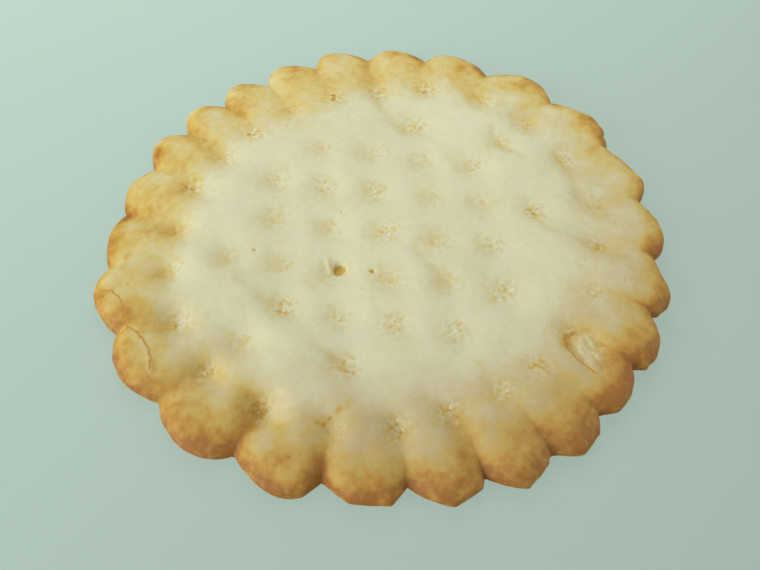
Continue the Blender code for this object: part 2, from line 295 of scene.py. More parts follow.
def cutter_parameter(turn):
    """The oval's parameter u at each share of its rim's length.

    The rim of x = a cos u, y = b sin u is added up in short steps and the sum is read backwards, so equal
    steps of `turn` give lobes of equal width on the cutter.
    """
    u = np.linspace(0.0, 2.0 * math.pi, 4097)
    middle = 0.5 * (u[1:] + u[:-1])
    steps = np.hypot(np.sin(middle) / SPRING_BACK, np.cos(middle))
    length = np.concatenate(([0.0], np.cumsum(steps)))
    spaced = turn + wave_sum(2.0 * math.pi * turn, SPACING_WAVES) / LOBES
    return np.interp(np.mod(spaced, 1.0) * length[-1], length, u)


def notch_circle(u):
    """Radius + the slow waves of the outline, turned into x and y."""
    radius = NOTCH_RADIUS + wave_sum(u, OUTLINE_WAVES)
    return np.stack((radius * np.cos(u), radius * np.sin(u)), axis=-1)


def lobe_offset(turn, u):
    """How far the lobes carry the outline out past the notch circle.

    Each cutter lobe rises by sin(pi * place) ^ fullness along the oval's normal, where place runs from 0
    to 1 across the lobe. A broken flank stays below start + slope * (1 - place). The spring-back shortens
    all of it along X, and the lean adds a sideways share.
    """
    place = np.mod(turn, 1.0) * LOBES
    lobe = np.floor(place).astype(int) % LOBES
    place -= np.floor(place)
    arc = np.sin(math.pi * place) ** LOBE_FULLNESS
    arc = np.where(lobe == FLAT_LOBE, np.minimum(arc, FLAT_LOBE_SHARE), arc)
    start, slope = np.array([FLANK_CUTS.get(number, UNCUT) for number in range(LOBES)]).T
    arc = np.minimum(arc, start[lobe] + slope[lobe] * (1.0 - place))
    swing = 1.0 + LOBE_SWING * np.cos(u - math.radians(LOBE_SWING_TO))
    arc = LOBE_DEPTH * arc * np.array(LOBE_SHARES)[lobe] * swing
    normal = np.stack((np.cos(u) * SPRING_BACK, np.sin(u)), axis=-1)
    normal /= np.linalg.norm(normal, axis=-1, keepdims=True)
    lean = LOBE_LEAN * 0.5 * np.sin(2.0 * u)
    out_x = SPRING_BACK * normal[..., 0] - lean * np.sin(u)
    out_y = normal[..., 1] + lean * np.cos(u)
    return np.stack((arc * out_x, arc * out_y), axis=-1)


def plan_point(turn, inset):
    """The place in plan of a point `inset` in from the outline, at a share `turn` of the way round."""
    u = cutter_parameter(turn)
    keep = (1.0 - inset / NOTCH_RADIUS)[..., None]
    fade = np.clip(1.0 - inset / (1.3 * RING_INSET), 0.0, 1.0)[..., None]
    return notch_circle(u) * keep + lobe_offset(turn, u) * fade


outline = plan_point(np.linspace(0.0, 1.0, 2400, endpoint=False), np.zeros(2400))
print("outline, mm:", np.round(np.ptp(outline, axis=0) / MM, 2))

# %% [markdown]
# ## The section
#
# Cut through the middle, the cracker is a thin lens with a rounded rim: the widest line is low, the top
# rises over the rim in a quarter ellipse and then slowly to the middle, and the underside is flat with a
# slight upward curl outside. On the side that puffed most the rim is higher and fuller. The skin has three
# sheets that share their edges: a fine top, a short side wall and a coarser underside. Each point of a sheet
# has two parameters, how far round and how far in.
#
# A grid of rings and spokes would crowd its points in the middle. Instead each sheet starts as a square
# grid, and every square ring of it is opened into a circle, so the faces keep nearly the same size.

# %% Section
RIM_WIDEST = 1.0 * MM       # height of the widest line
RIM_TOP = 1.95 * MM         # height at which the rounding of the rim ends
RIM_ROUND = 2.0 * MM        # how far in the rounding reaches
RIM_SWELL = 0.75 * MM       # how much higher the rim stands towards RIM_SWELL_TO, where it puffed most
RIM_SWELL_TO = -40.0
RIM_FULLNESS = 0.55         # power of the sine that rounds the rim there; below 1 it is fuller
MIDDLE_TOP = 3.7 * MM
RISE_LENGTH = 6.0 * MM      # the top nears MIDDLE_TOP by exp(-inset / RISE_LENGTH)
RIM_LIFT = 0.4 * MM         # how far the underside curls up at the rim
FLAT_SHARE = 0.76           # share of the underside's radius that is flat
TOP_GRID = 264              # faces along one side of the top's square
UNDER_GRID = TOP_GRID // 2
TOP_RIM_RINGS = 20          # rings of the top that step round the rim
UNDER_RIM_RINGS = 10
RIM_ANGLE = math.radians(8.0)   # the side wall reaches this angle above and below the widest line
SIDE_ROWS = 4


def square_to_disc(x, y):
    """Share of the way round and ring share of points on the square from -1 to 1.

    The square ring at max(|x|, |y|) becomes a circle, and steps along the square become equal angles.
    """
    ring = np.maximum(np.abs(x), np.abs(y))
    flat = np.abs(x) >= np.abs(y)
    safe_x = np.where(flat & (ring > 0), x, 1.0)
    safe_y = np.where(~flat, y, 1.0)
    from_x = y / safe_x * 0.125 + np.where(x < 0, 0.5, 0.0)
    from_y = 0.25 - x / safe_y * 0.125 + np.where(y < 0, 0.5, 0.0)
    return np.mod(np.where(flat, from_x, from_y), 1.0), ring


def sheet_section(ring, grid, rim_rings):
    """Inset and rim angle for the rings of one sheet.

    The outermost rings step evenly round the quarter ellipse of the rim, from RIM_ANGLE to upright, and
    the rest step evenly from there to the middle.
    """
    outer = 2.0 * rim_rings / grid
    on_rim = ring > 1.0 - outer
    angle = np.where(on_rim, RIM_ANGLE + (1.0 - ring) / outer * (math.pi / 2 - RIM_ANGLE), math.pi / 2)
    inner = NOTCH_RADIUS - (NOTCH_RADIUS - RIM_ROUND) * ring / (1.0 - outer)
    return np.where(on_rim, RIM_ROUND * (1.0 - np.cos(angle)), inner), angle


def rim_height(turn):
    """Height of the lobes' tops round the rim, and the power of the sine that rounds the rim off."""
    swell = 0.5 + 0.5 * np.cos(cutter_parameter(turn) - math.radians(RIM_SWELL_TO))
    return RIM_TOP + RIM_SWELL * swell, 1.0 + (RIM_FULLNESS - 1.0) * swell


def square_sheet(grid):
    """x and y of a (grid + 1) by (grid + 1) square from -1 to 1, row by row."""
    line = np.linspace(-1.0, 1.0, grid + 1)
    x, y = np.meshgrid(line, line)
    return x.ravel(), y.ravel()


print("top grid step:", round((NOTCH_RADIUS - RIM_ROUND) / (TOP_GRID / 2 - TOP_RIM_RINGS) / MM, 3), "mm")

# %% [markdown]
# ## Docking pins
#
# A block of pins pricks the dough so that it cannot blow up into one bubble. On the cutter they stand in a
# square lattice with one more pin behind every notch; the spring-back draws the squares into rhombs.
# Each pin leaves a soft dimple, a bell exp(-(d / radius)^2). The pins differ a little in depth and width,
# from a seeded draw, so that every run of this file bakes the same cracker.

# %% Docking pins
PIN_STEP = 4.95 * MM
PIN_ROWS = {0: 6, 1: 3, 2: 4, 3: 1}     # the last column of each row, both counted from the middle
END_PIN = 5.5               # the end pins of the middle row, in columns from its middle
PIN_SHIFT = np.array((-0.8 * MM, -1.1 * MM))
PIN_RADIUS = 2.9 * MM
RING_PIN_RADIUS = 2.4 * MM
PIN_DEPTH = 0.37 * MM
HEEL_DEPTH = 0.03 * MM      # the pins went in deeper towards -X, by HEEL_DEPTH * exp(-x / HEEL_LENGTH)
HEEL_LENGTH = 7.0 * MM
DEEPEST_PIN = 0.95 * MM
RING_PIN_INSET = 7.6 * MM
# depth of some ring pins beside the rest, by the number of their notch
RING_SHARES = {
    3: 1.2, 4: 0.3, 5: 0.7, 6: 0.3, 13: 1.3, 14: 0.6,
    16: 0.5, 17: 0.2, 18: 0.2, 19: 0.4, 20: 0.5,
}
PUFF_SEED = 5


def lattice_pins():
    """Rows of pins: every second place of a square lattice, shortened along X by the spring-back."""
    pins = []
    for row in range(-max(PIN_ROWS), max(PIN_ROWS) + 1):
        last = PIN_ROWS[abs(row)]
        for column in range(-last, last + 1, 2):
            place = min(max(column, -END_PIN), END_PIN)
            pins.append((place * PIN_STEP * SPRING_BACK, row * PIN_STEP))
    return np.array(pins) + PIN_SHIFT


def ring_pins():
    """One pin behind each notch, on an oval inside the cutter's."""
    long_way = NOTCH_RADIUS - RING_PIN_INSET * SPRING_BACK
    short_way = NOTCH_RADIUS - RING_PIN_INSET
    return np.stack((long_way * np.cos(NOTCH_U), short_way * np.sin(NOTCH_U)), axis=-1) + PIN_SHIFT


def bell(distance, width):
    """exp(-(distance / width)^2), which is 1 on the spot and next to nothing two widths away."""
    return np.exp(-(distance / width) ** 2)


def pin_relief(points, rng):
    """The sum of all the pins' bells, in metres, never above zero."""
    relief = np.zeros(len(points))
    depths = np.minimum(PIN_DEPTH + HEEL_DEPTH * np.exp(-ALL_PINS[:, 0] / HEEL_LENGTH), DEEPEST_PIN)
    for number, share in RING_SHARES.items():
        depths[number - LOBES] *= share
    radii = np.repeat((PIN_RADIUS, RING_PIN_RADIUS), (len(ALL_PINS) - LOBES, LOBES))
    for place, depth, radius in zip(ALL_PINS, depths, radii):
        away = np.linalg.norm((points - place) / (SPRING_BACK, 1.0), axis=1)
        radius *= rng.uniform(0.9, 1.1)
        relief -= depth * rng.uniform(0.75, 1.25) * bell(away, radius)
    return relief


NOTCH_U = cutter_parameter(np.arange(LOBES) / LOBES)
NOTCHES = notch_circle(NOTCH_U)
RING_PINS = ring_pins()
ALL_PINS = np.concatenate((lattice_pins(), RING_PINS))
print(len(ALL_PINS) - LOBES, "lattice pins and", LOBES, "ring pins")

# %% [markdown]
# ## Furrows
#
# Between two lobes the dough folds in: a furrow runs from the notch towards the ring pin. It is a valley
# given by the distance to that straight run, and it gets shallower on the way. Some are strong, some hardly
# show, and the lists say which.

# %% Furrows
FURROW_DEPTH = 0.45 * MM
FURROW_WIDTH = 1.4 * MM
FURROW_REACH = 0.5          # share of its depth that a furrow loses on its way to the pin
FURROW_SHARE = 0.5          # of the depth, for a plain furrow
STRONG_FURROWS = (9, 12, 13, 14, 15, 16)
STRONG_SHARE = 1.4
WEAK_FURROWS = (0, 1, 2, 4, 6, 8, 10, 18, 19, 20, 21, 22, 23)
WEAK_SHARE = 0.2


def distance_to_run(points, start, end):
    """Distance from each point to the straight run from start to end, and the share of the run there."""
    start = np.asarray(start, dtype=float)
    run = np.asarray(end, dtype=float) - start
    share = np.clip(((points - start) @ run) / (run @ run), 0.0, 1.0)
    return np.linalg.norm(points - start - share[:, None] * run, axis=1), share


def furrow_relief(points):
    """Valleys from the notches towards the ring pins, getting shallower on the way."""
    shares = np.full(LOBES, FURROW_SHARE)
    shares[list(STRONG_FURROWS)] = STRONG_SHARE
    shares[list(WEAK_FURROWS)] = WEAK_SHARE
    relief = np.zeros(len(points))
    for notch, pin, furrow_share in zip(NOTCHES, RING_PINS, shares):
        distance, share = distance_to_run(points, notch, pin)
        depth = FURROW_DEPTH * furrow_share * (1.0 - FURROW_REACH * share)
        relief -= depth * bell(distance, FURROW_WIDTH)
    return relief


print(len(STRONG_FURROWS), "strong furrows and", len(WEAK_FURROWS), "weak ones")

# %% [markdown]
# ## Folds, swells and the torn blister
#
# A few long folds cross the top, steep on one side and slow on the other. Broad swells lift it unevenly, and
# on one side a blister has lost its lid. The folds need a side as well as a distance, so the path helper
# gives both, and the blister is a pit with an oval edge.

# %% Broad relief
FOLD_RISE = 3.2             # width of a fold's slow side, in mm
# folds: height, width of the drop, and bends, in mm; the skin drops on the left as one walks the bends
FOLDS = (
    (0.24, 1.6, ((-16.9, 9.5), (-17.4, 4.0), (-17.2, -1.0), (-17.3, -6.0), (-16.9, -11.0))),
    (0.18, 1.6, ((18.5, 12.5), (21.5, 8.5), (22.7, 3.5))),
    (0.18, 1.4, ((12.4, -11.0), (12.6, -14.5), (13.6, -18.0), (14.6, -21.5))),
    (0.16, 1.6, ((19.8, -3.0), (21.0, -8.5), (20.0, -13.0))),
)
BLISTER_AT = (3.9 * MM, -26.3 * MM)
BLISTER_LENGTH = 3.4 * MM
BLISTER_WIDTH = 1.9 * MM
BLISTER_TURN = -100.0
BLISTER_DEPTH = 0.55 * MM
BLISTER_WALL = 5.0          # steepness of its wall
# swells: length and height in mm, heading in degrees, and phase in turns
SWELLS = ((34, 0.16, 20.0, 0.1), (23, 0.13, 105.0, 0.55), (17, 0.1, 160.0, 0.3))


def follow_path(points, bends):
    """Distance from each point to a path through the bends, which are in millimetres, and its side.

    The side is 1 well to the right of the nearest run, -1 well to its left, and between past its ends.
    """
    places = np.array(bends) * MM
    nearest = np.full(len(points), np.inf)
    side = np.zeros(len(points))
    for start, end in zip(places[:-1], places[1:]):
        distance = distance_to_run(points, start, end)[0]
        run = (end - start) / np.linalg.norm(end - start)
        left = run[0] * (points[:, 1] - start[1]) - run[1] * (points[:, 0] - start[0])
        side = np.where(distance < nearest, -left / np.maximum(distance, 1e-9), side)
        nearest = np.minimum(nearest, distance)
    return nearest, np.clip(side, -1.0, 1.0)


def fold_relief(points):
    """Ridges that rise slowly on the right of a path and drop quickly on its left."""
    relief = np.zeros(len(points))
    for height, drop, bends in FOLDS:
        distance, side = follow_path(points, bends)
        width = drop + (FOLD_RISE - drop) * (0.5 + 0.5 * side)
        relief += height * MM * bell(distance, width * MM)
    return relief


def blister_distance(points):
    """Distance from the middle of the torn blister as a share of its oval, so 1 on the oval's edge."""
    away = points - np.array(BLISTER_AT)
    way = compass(BLISTER_TURN)
    across = away[:, 1] * way[0] - away[:, 0] * way[1]
    return np.hypot(away @ way / BLISTER_LENGTH, across / BLISTER_WIDTH)


def pit(distance, steepness):
    """1 inside and 0 outside an edge at distance 1: 1 / (1 + exp(steepness * (distance - 1)))."""
    return 1.0 / (1.0 + np.exp(np.clip((distance - 1.0) * steepness, -50.0, 50.0)))


def swell_relief(points):
    """Sine waves across the top: height * sin(2 pi (along / length + phase))."""
    relief = np.zeros(len(points))
    for length, height, direction, phase in SWELLS:
        along = points @ compass(direction) / (length * MM)
        relief += height * MM * np.sin(2.0 * math.pi * (along + phase))
    return relief


def broad_relief(points):
    """Everything that shapes the top at the size of a pin dimple or more."""
    rng = np.random.default_rng(PUFF_SEED)
    relief = pin_relief(points, rng) + furrow_relief(points) + fold_relief(points)
    return relief - BLISTER_DEPTH * pit(blister_distance(points), BLISTER_WALL) + swell_relief(points)


print("relief at the middle, mm:", np.round(broad_relief(np.zeros((1, 2))) / MM, 2))

# %% [markdown]
# ## Noise that belongs to the dough
#
# Baked dough is rough at every size. A noise texture could fake that in the shader alone, but the outline
# and the crumbs have to be real shape. So this cell makes a smooth random field: random numbers on a cubic
# lattice, blended along each axis with 3t^2 - 2t^3.

# %% Noise
LATTICE = 48                # numbers along each side of the random lattice, which then repeats


def soft_noise(points, size, seed):
    """A smooth random value between -1 and 1 at each 3D point, with bumps about `size` across."""
    table = np.random.default_rng(seed).uniform(-1.0, 1.0, (LATTICE, LATTICE, LATTICE))
    place = points / size
    base = np.floor(place).astype(int)
    t = place - base
    t = t * t * (3.0 - 2.0 * t)
    total = np.zeros(len(points))
    for corner in range(8):
        step = np.array((corner & 1, corner >> 1 & 1, corner >> 2 & 1))
        weight = np.prod(np.where(step, t, 1.0 - t), axis=1)
        i, j, k = np.mod(base + step, LATTICE).T
        total += table[i, j, k] * weight
    return total


def layered_noise(points, size, seed, layers=3):
    """Soft noise summed at falling sizes, each half as large and half as strong as the last."""
    total = np.zeros(len(points))
    for layer in range(layers):
        total += soft_noise(points, size / 2 ** layer, seed + layer) / 2 ** layer
    return total


print("noise sample:", np.round(layered_noise(np.array([[0.0, 0.0, 0.0], [0.01, 0.02, 0.0]]), 0.003, 1), 2))

# %% [markdown]
# ## Crumbs and pores
#
# Where a pin went in, the skin tore: the bottom of each dimple is a patch of crumbs about 2 mm across. One
# pin hole stayed open, and two tiny pores did too. Both are round, so a bell or a pit round their middle
# makes them, and soft noise breaks the bell up into crumbs.

# %% Crumbs and pores
CRUMB_SEED = 11
CRUMB_RADIUS = 1.3 * MM
CRUMB_HEIGHT = 0.07 * MM
CRUMB_SPREAD = 0.3 * MM
BLISTER_CRUMB = 0.28        # how crumbly the floor of the torn blister is
# open pores: place, radius and depth in mm
PORES = (((-7.75, -1.15), 0.7, 0.42), ((-5.5, -4.1), 0.3, 0.16), ((-12.9, 7.3), 0.2, 0.14))
PORE_WALL = 12.0            # steepness of their walls


def on_floor(points):
    """The points in plan with a height of 0, so that noise can be read there."""
    return np.column_stack((points, np.zeros(len(points))))


def crumb_relief(points):
    """The torn patches, bells times two layers of soft noise, and how crumbly each point is."""
    rng = np.random.default_rng(CRUMB_SEED)
    rough = soft_noise(on_floor(points), 0.5 * MM, 12) + 0.7 * soft_noise(on_floor(points), 0.26 * MM, 13)
    crumb = np.zeros(len(points))
    for place in ALL_PINS:
        away = np.linalg.norm(points - place - rng.normal(0.0, CRUMB_SPREAD, 2), axis=1)
        crumb += rng.uniform(0.35, 1.0) * bell(away, CRUMB_RADIUS)
    crumb = np.clip(crumb, 0.0, 1.0)
    crumb = np.maximum(crumb, BLISTER_CRUMB * pit(blister_distance(points) / 0.9, 7.2))
    return CRUMB_HEIGHT * crumb * rough, crumb


def pore_relief(points):
    """Round holes with steep walls, and how far inside a hole each point lies, in mm."""
    relief = np.zeros(len(points))
    inside = np.full(len(points), -1.0)
    for place, radius, depth in PORES:
        distance = np.linalg.norm(points / MM - place, axis=1)
        relief -= depth * MM * pit(distance / radius, PORE_WALL)
        inside = np.maximum(inside, radius - distance)
    return relief, inside


print(len(ALL_PINS), "crumb patches and", len(PORES), "pores")

# %% [markdown]
# ## Flakes, tears and fine creases
#
# The skin of two lobes on the left split along a line, pale flakes stand up at the open hole and in the torn
# blister, and fine creases run across the top where the dough was pinched. Some of these are narrower than
# the grid. For the tears the points therefore store a distance and not a share: a distance is smooth across
# a line, so the material can still draw a sharp edge at zero.

# %% Flakes, tears and creases
# thin pale flakes that stand up: height, half width and bends in mm
FLAKES = (
    (0.22, 0.2, ((-7.75, 0.7), (-8.25, 0.15), (-8.55, -0.75))),
    (0.15, 0.5, ((4.6, -24.9), (3.9, -26.2), (3.1, -27.6), (2.6, -28.5))),
    (0.12, 0.3, ((5.1, -25.3), (4.6, -26.8), (3.9, -28.1))),
    (0.1, 0.25, ((3.9, -25.0), (3.2, -26.4), (2.8, -27.6))),
    (0.12, 0.22, ((-29.1, 5.6), (-29.4, 4.4), (-29.8, 3.3), (-30.3, 2.7))),
)
FULL_FLAKE = 0.2            # a flake this high is quite pale, and lower ones less
FRAY = 0.9                  # how unevenly the flakes stand up
# fine creases: depth, half width, how much they are browned and darkened, partly as painted shade in
# the groove, and bends, with lengths in mm
CREASES = (
    (0.1, 0.5, 0.12, (
        (14.4, -8.9), (13.5, -10.6), (12.8, -13.3), (14.3, -17.1), (15.1, -19.9), (16.7, -22.4),
    )),
    (0.13, 0.7, 0.12, ((22.7, -6.5), (21.9, -8.9), (20.8, -10.8), (19.2, -13.1))),
    (0.12, 0.5, 0.12, ((20.4, 1.8), (18.9, -0.4), (19.0, -2.1), (19.6, -3.9))),
    (0.18, 0.8, 0.14, ((13.9, 15.8), (12.5, 11.5), (12.4, 9.1))),
    (0.13, 0.8, 0.1, ((-16.4, 5.1), (-16.2, 1.8), (-15.7, -1.4))),
    (0.2, 0.7, 0.14, ((-16.1, -7.2), (-15.8, -10.3), (-15.5, -11.8))),
    (0.12, 0.9, 0.1, ((-0.1, -5.3), (-0.3, -7.8), (-0.4, -10.3))),
)
# lines along which the skin tore, in mm: two lobes' split, its branch to the notch, and the blister's edge
TEARS = (
    (
        (-29.2, 15.3), (-28.4, 15.5), (-27.8, 15.0), (-27.4, 14.1), (-27.3, 12.9), (-27.6, 11.7),
        (-28.1, 10.7), (-28.7, 9.2), (-28.6, 8.2), (-28.5, 7.3), (-28.6, 6.1), (-28.8, 5.0),
        (-29.3, 3.9), (-29.9, 3.2),
    ),
    ((-28.7, 9.2), (-29.3, 8.9), (-29.9, 9.2)),
    ((2.9, -24.3), (2.5, -24.9), (2.4, -25.6), (2.2, -26.7), (2.2, -27.8), (2.2, -28.5)),
)
TEAR_MASK = 0.4 * MM        # how far from its line a tear is still looked for


def nearest_path(points, paths):
    """Signed distance to the nearest of several paths, positive on its right, and the plain distance."""
    nearest = np.full(len(points), np.inf)
    signed = np.zeros(len(points))
    for bends in paths:
        distance, side = follow_path(points, bends)
        signed = np.where(distance < nearest, distance * side, signed)
        nearest = np.minimum(nearest, distance)
    return signed, nearest


def flake_relief(points):
    """Ridges along the flakes, bells frayed by noise, and how pale each point is."""
    relief = np.zeros(len(points))
    flake = np.zeros(len(points))
    for height, width, bends in FLAKES:
        ridge = bell(follow_path(points, bends)[0], width * MM)
        relief += height * MM * ridge
        flake = np.maximum(flake, ridge * min(1.0, height / FULL_FLAKE))
    return relief * (1.0 + FRAY * soft_noise(on_floor(points), 0.45 * MM, 15)), flake


def crease_relief(points):
    """Grooves along the creases, in bells, and how much each point is browned and darkened, partly painted
    shade.
    """
    relief = np.zeros(len(points))
    tint_and_shade = np.zeros(len(points))
    for depth, width, browner_and_shade, bends in CREASES:
        groove = bell(follow_path(points, bends)[0], width * MM)
        relief -= depth * MM * groove
        tint_and_shade += browner_and_shade * groove
    return relief, tint_and_shade


print(len(TEARS), "tears,", len(FLAKES), "flakes and", len(CREASES), "creases")

# %% [markdown]
# ## Draw the grid towards the detail
#
# The crumbs are finer than the even grid. Rather than doubling the whole grid, its points are pulled a
# little towards every pin: p + (pin - p) * pull * exp(-(d / reach)^2). The shape is worked out after this
# pull, so it stays the same, but it is sampled up to 1.8 times as finely where it matters.

# %% Pull the grid in
PULL = 0.45
PULL_REACH = 1.8 * MM


def pull_to_detail(points):
    """Move grid points in plan towards the nearest pins and pores."""
    centres = np.concatenate((ALL_PINS, np.array([place for place, _, _ in PORES]) * MM))
    moved = points.copy()
    for centre in centres:
        away = points - centre
        moved -= away * (PULL * bell(np.linalg.norm(away, axis=1), PULL_REACH))[:, None]
    return moved


print("steps next to a pin shrink to", round(1.0 - PULL, 2), "of their size")

# %% [markdown]
# ## Shape the three sheets
#
# Now every point gets its place. On the top, the height is the section plus the relief. Near the rim the
# skin turns from facing up to facing out, so the fine relief there is laid along the direction in which the
# skin faces. The outline is slightly ragged, more so at a few chipped places.

# %% Shape the sheets
RAGGED = 0.1 * MM
# the skin's roughness: height and size in mm, seed, and layers
ROUGH = ((0.035, 1.6, 21, 3), (0.012, 0.5, 31, 2))
DENT = 0.25 * MM            # shallow dents in the underside, where noise is above DENT_FROM
DENT_FROM = 0.25
GRAIN = 0.04 * MM
PRICK_DEPTH = 0.5 * MM      # where a pin came through to the underside
PRICK_RADIUS = 0.7 * MM
# chips and burrs on the rim: place, radius, and how far out (or, below zero, in), in mm
NICKS = (
    ((32.2, -6.5), 0.5, -0.3), ((31.0, -8.2), 0.5, -0.35), ((29.9, -9.6), 0.6, 0.25),
    ((12.6, -29.0), 0.5, -0.4), ((13.6, -28.4), 0.4, 0.3), ((7.2, -31.6), 0.45, 0.45),
    ((-7.2, -30.9), 0.5, 0.3), ((-2.5, -31.9), 0.8, -0.35), ((1.5, -32.4), 0.6, 0.25),
)


def outward(turn):
    """Unit vectors in plan that point out from the middle."""
    u = cutter_parameter(turn)
    return np.stack((np.cos(u), np.sin(u)), axis=-1)


def ragged_rim(turn, inset, skin):
    """Steps in plan, out from the middle, that make the rim ragged by noise and by a bell for each nick."""
    out = RAGGED * layered_noise(skin, 1.7 * MM, 41)
    for place, radius, burr in NICKS:
        out += burr * MM * bell(np.linalg.norm(skin[:, :2] / MM - place, axis=1), radius)
    rim = np.clip(1.0 - inset / (1.5 * RIM_ROUND), 0.0, 1.0)
    return outward(turn) * (rim * out)[:, None]


def shape_top(turn, inset, angle):
    """The finished top: its points, and its marks, the values by which the material colours it."""
    even = plan_point(turn, inset)
    plan = np.where((inset > RIM_ROUND)[:, None], pull_to_detail(even), even)
    rim_top, power = rim_height(turn)
    rise = (MIDDLE_TOP - rim_top) * (1.0 - np.exp(-inset / RISE_LENGTH))
    height = RIM_WIDEST + (rim_top - RIM_WIDEST + rise + broad_relief(plan)) * np.sin(angle) ** power
    crumbs, crumb = crumb_relief(plan)
    pores, hole = pore_relief(plan)
    flakes, flake = flake_relief(plan)
    signed, nearest = nearest_path(plan, TEARS)
    skin = np.column_stack((plan, height))
    fine = crumbs + pores + flakes + crease_relief(plan)[0]
    for rough, size, seed, layers in ROUGH:
        fine += rough * MM * layered_noise(skin, size * MM, seed, layers)
    ragged = ragged_rim(turn, inset, skin)
    skin[:, :2] += outward(turn) * (fine * np.cos(angle))[:, None] + ragged
    skin[:, 2] += fine * np.sin(angle)
    torn = bell(nearest, TEAR_MASK)
    return skin, {"crumb": crumb, "hole": hole, "flake": flake, "tear": signed / MM, "torn": torn}


def shape_underside(turn, inset, angle):
    """The underside: flat where it rests, curling up outside, with shallow blisters pressed in."""
    plan = plan_point(turn, inset)
    upright = np.sin(angle)
    out = np.clip((1.0 - inset / NOTCH_RADIUS - FLAT_SHARE) / (1.0 - FLAT_SHARE), 0.0, 1.0)
    height = RIM_WIDEST - (RIM_WIDEST - RIM_LIFT * out ** 2) * upright
    height = np.where((out <= 0.0) & (upright > 0.999), 0.0, height)
    skin = np.column_stack((plan, height))
    dents = np.clip(layered_noise(skin, 3.2 * MM, 51) - DENT_FROM, 0.0, 1.0) * DENT
    grain = np.clip(layered_noise(skin, 0.9 * MM, 61), 0.0, 1.0) * GRAIN
    pricks = sum(bell(np.linalg.norm(plan - place, axis=1), PRICK_RADIUS) for place in ALL_PINS)
    skin[:, :2] += ragged_rim(turn, inset, skin)
    skin[:, 2] += (dents + grain + PRICK_DEPTH * pricks) * upright
    return skin, {"crumb": np.clip(pricks, 0.0, 1.0)}


middle = shape_top(np.zeros(1), np.full(1, NOTCH_RADIUS), np.full(1, math.pi / 2))[0]
print("the top stands", round(middle[0, 2] / MM, 2), "mm high in the middle")

# %% [markdown]
# ## Sew the sheets together
#
# The top's edge has twice as many points as the underside's. The side wall takes the top's edge down in
# rows, and the last row is sewn to the underside by one five-sided face for every two steps. All the sheets
# share their points along the seams, so the skin is closed.

# %% Sew the skin
# the marks of the side wall and the underside, where there is nothing to see
PLAIN_MARKS = {"crumb": 0.0, "hole": -1.0, "flake": 0.0, "tear": 1.0, "torn": 0.0}


def sheet_faces(grid, first):
    """The square faces of a (grid + 1) by (grid + 1) sheet whose first point has number `first`."""
    row, column = np.meshgrid(np.arange(grid), np.arange(grid), indexing="ij")
    corner = (first + row * (grid + 1) + column).ravel()
    return np.column_stack((corner, corner + 1, corner + grid + 2, corner + grid + 1))


def edge_points(grid):
    """The numbers of a sheet's edge points, going round from the middle of its +X side."""
    turn, ring = square_to_disc(*square_sheet(grid))
    edge = np.nonzero(ring > 1.0 - 1e-9)[0]
    return edge[np.argsort(turn[edge], kind="stable")]


def list_sheets():
    """Top, rows of the side wall, and underside: each one's maker, turn, inset, angle and underside share."""
    turn, ring = square_to_disc(*square_sheet(TOP_GRID))
    yield shape_top, turn, *sheet_section(ring, TOP_GRID, TOP_RIM_RINGS), 0.0
    turn = turn[edge_points(TOP_GRID)]
    for row in range(1, SIDE_ROWS):
        level = RIM_ANGLE * (1.0 - 2.0 * row / SIDE_ROWS)
        maker, under = (shape_top, 0.0) if level >= 0.0 else (shape_underside, 0.5)
        inset = np.full_like(turn, RIM_ROUND * (1.0 - math.cos(level)))
        yield maker, turn, inset, np.full_like(turn, abs(level)), under
    turn, ring = square_to_disc(*square_sheet(UNDER_GRID))
    yield shape_underside, turn, *sheet_section(ring, UNDER_GRID, UNDER_RIM_RINGS), 1.0


def build_skin():
    """All points and faces of the skin, and for each point the facts by which it is coloured."""
    skins, facts = [], []
    for maker, turn, inset, angle, under in list_sheets():
        skin, marks = maker(turn, inset, angle)
        if np.ptp(angle) == 0.0:    # a row of the wall, which has no marks
            marks = {}
        marks = {**PLAIN_MARKS, **marks, "inset": inset, "turn": turn, "under": under}
        facts.append({name: np.broadcast_to(value, len(skin)) for name, value in marks.items()})
        skins.append(skin)
    faces = sheet_faces(TOP_GRID, 0).tolist()
    above = edge_points(TOP_GRID)
    first = len(skins[0])
    for row in skins[1:-1]:
        below = first + np.arange(len(row))
        faces += np.column_stack((above, below, np.roll(below, -1), np.roll(above, -1))).tolist()
        above = below
        first += len(row)
    under = first + edge_points(UNDER_GRID)
    seam = (above[0::2], under, np.roll(under, -1), np.roll(above, -2)[0::2], above[1::2])
    faces += np.column_stack(seam).tolist()
    faces += sheet_faces(UNDER_GRID, first)[:, ::-1].tolist()
    points = np.concatenate(skins)
    points[:, :2] += CENTRE_SHIFT
    return points, faces, {name: np.concatenate([part[name] for part in facts]) for name in facts[0]}


points, faces, facts = build_skin()
print(len(points), "points,", sum(len(face) - 2 for face in faces), "triangles")
